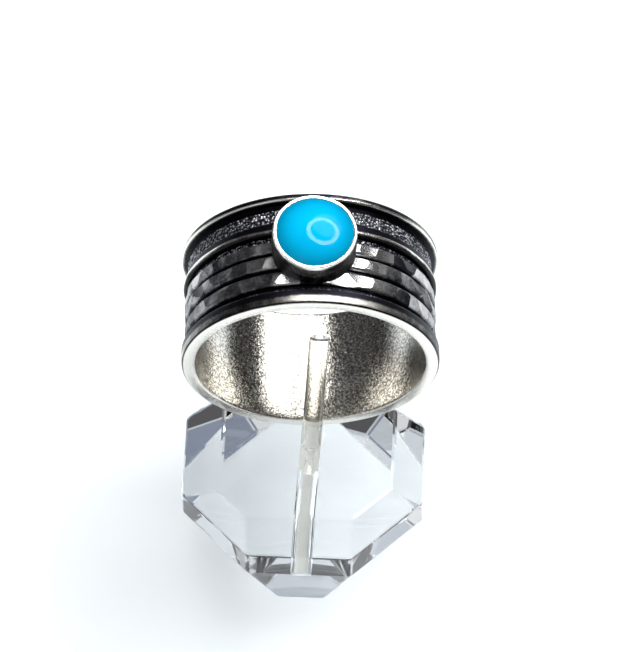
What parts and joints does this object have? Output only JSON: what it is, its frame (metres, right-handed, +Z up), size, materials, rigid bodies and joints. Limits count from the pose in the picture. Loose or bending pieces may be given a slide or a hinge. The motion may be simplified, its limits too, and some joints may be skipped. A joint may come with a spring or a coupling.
{
  "type": "wide silver band ring with turquoise cabochon on clear acrylic display stand",
  "caption": "Wide dark silver band ring with hammered half-round wires and a round turquoise cabochon in a plain bezel, upright on a clear bevelled block with a slanted clear rod.",
  "frame": {"origin": "middle of the underside of the whole part's bounding box, on the plane that the clear block rests on", "axes": "+Z up, from the block to the stone. Y lies along the ring's own axis (the finger's direction), with -Y the front, where the rod enters the block, and +Y the back. +X is to the right as seen from the front"},
  "size_m": [0.0216, 0.0214, 0.038],
  "materials": {
    "silver": "oxidised silver: polished high spots, satin finger hole, near-black recesses",
    "turquoise": "polished opaque stone, even sky blue, no matrix",
    "clear_block": "polished clear acrylic",
    "clear_rod": "polished clear acrylic"
  },
  "bodies": {
    "root": {"band": "silver", "cabochon": "turquoise", "stand_block": "clear_block", "stand_rod": "clear_rod"}
  },
  "joints": []
}
